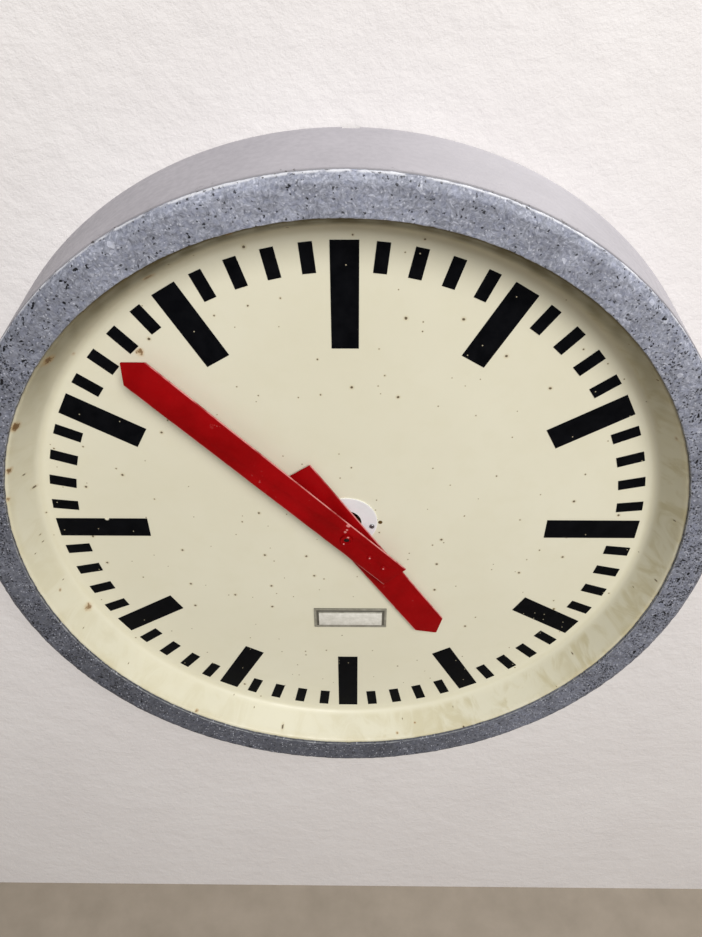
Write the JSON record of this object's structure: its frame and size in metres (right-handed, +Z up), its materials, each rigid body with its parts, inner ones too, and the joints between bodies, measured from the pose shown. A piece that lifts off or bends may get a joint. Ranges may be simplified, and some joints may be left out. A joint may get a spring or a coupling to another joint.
{
  "type": "wall clock",
  "caption": "Large round indoor wall clock: tapered drum case, rough cast front ring, dished dial with bar markers, two pointed bar hands and an impulse movement.",
  "frame": {"origin": "on the hands' axis, in the plane of the case's rear rim, where it meets the wall", "axes": "+Z up towards twelve, -Y out of the wall towards the viewer, +X towards three"},
  "size_m": [0.788, 0.103, 0.788],
  "materials": {
    "case_grey": "smooth matt light grey enamel",
    "ring_cast": "rough cast, blue-grey, pitted",
    "dial_cream": "satin cream enamel",
    "marker_black": "satin black",
    "badge_grey": "satin, plain and blank",
    "washer_white": "satin white",
    "fixing_steel": "zinc plated",
    "sheet_steel": "galvanised sheet",
    "black_rubber": "matt",
    "block_plastic": "moulded",
    "plate_brass": "lightly tarnished",
    "arbor_steel": "turned and ground",
    "yoke_iron": "laminated soft iron",
    "magnet_grey": "ground ferrite",
    "coil_copper": "enamelled wire under varnish",
    "hand_red": "satin deep red enamel"
  },
  "bodies": {
    "case": {"housing_drum": "case_grey", "front_ring": "ring_cast", "dial_pan": "dial_cream", "quarter_markers": "marker_black", "hour_markers": "marker_black", "minute_markers": "marker_black", "badge_plate": "badge_grey", "dial_washer": "washer_white", "washer_screws": "fixing_steel", "dial_spacers": "plate_brass", "ring_screws": "fixing_steel", "back_plate": "sheet_steel", "back_screws": "fixing_steel", "hanger_bar": "sheet_steel", "bar_rivets": "fixing_steel", "cable_gland": "black_rubber", "terminal_block": "block_plastic", "terminal_screws": "fixing_steel", "rear_plate": "plate_brass", "front_plate": "plate_brass", "plate_pillars": "plate_brass", "plate_screws": "fixing_steel", "mounting_posts": "fixing_steel", "post_nuts": "fixing_steel", "dust_band": "sheet_steel", "arbor_bushes": "plate_brass", "yoke": "yoke_iron", "yoke_studs": "fixing_steel", "yoke_nuts": "fixing_steel", "coil_bobbin": "block_plastic", "coil_winding": "coil_copper", "motion_stud": "arbor_steel", "stud_collar": "plate_brass", "stud_clip": "fixing_steel"},
    "minute": {"centre_arbor": "arbor_steel", "centre_wheel": "plate_brass", "wheel_collet": "plate_brass", "cannon_pinion": "arbor_steel", "minute_hand": "hand_red", "minute_hub": "hand_red", "hub_set_screw": "hand_red", "minute_counterweight": "hand_red", "tail_rivets": "hand_red"},
    "hour": {"hour_wheel": "plate_brass", "hour_pipe": "plate_brass", "hour_hand": "hand_red", "hour_hub": "plate_brass", "hour_hub_rivets": "hand_red"},
    "motion": {"minute_wheel": "plate_brass", "minute_pinion": "arbor_steel"},
    "intermediate": {"intermediate_pinion": "arbor_steel", "intermediate_wheel": "plate_brass"},
    "rotor": {"rotor_magnet": "magnet_grey", "rotor_pinion": "arbor_steel"}
  },
  "joints": [
    {"name": "minute_hand_turn", "type": "hinge", "parent": "case", "child": "minute", "pos_m": [0, -0.05, 0], "axis": [0, 1, 0], "continuous": true},
    {"name": "hour_hand_turn", "type": "hinge", "parent": "case", "child": "hour", "pos_m": [0, -0.05, 0], "axis": [0, 1, 0], "continuous": true},
    {"name": "motion_wheel_turn", "type": "hinge", "parent": "case", "child": "motion", "pos_m": [0, -0.05, -0.024], "axis": [0, 1, 0], "continuous": true},
    {"name": "intermediate_wheel_turn", "type": "hinge", "parent": "case", "child": "intermediate", "pos_m": [0, -0.05, -0.036], "axis": [0, 1, 0], "continuous": true},
    {"name": "rotor_turn", "type": "hinge", "parent": "case", "child": "rotor", "pos_m": [0, -0.05, -0.064], "axis": [0, 1, 0], "continuous": true}
  ],
  "couplings": [
    {"joint": "hour_hand_turn", "follows": "minute_hand_turn", "ratio": 0.083333},
    {"joint": "motion_wheel_turn", "follows": "minute_hand_turn", "ratio": -0.33333},
    {"joint": "intermediate_wheel_turn", "follows": "minute_hand_turn", "ratio": -5},
    {"joint": "rotor_turn", "follows": "minute_hand_turn", "ratio": 30}
  ]
}
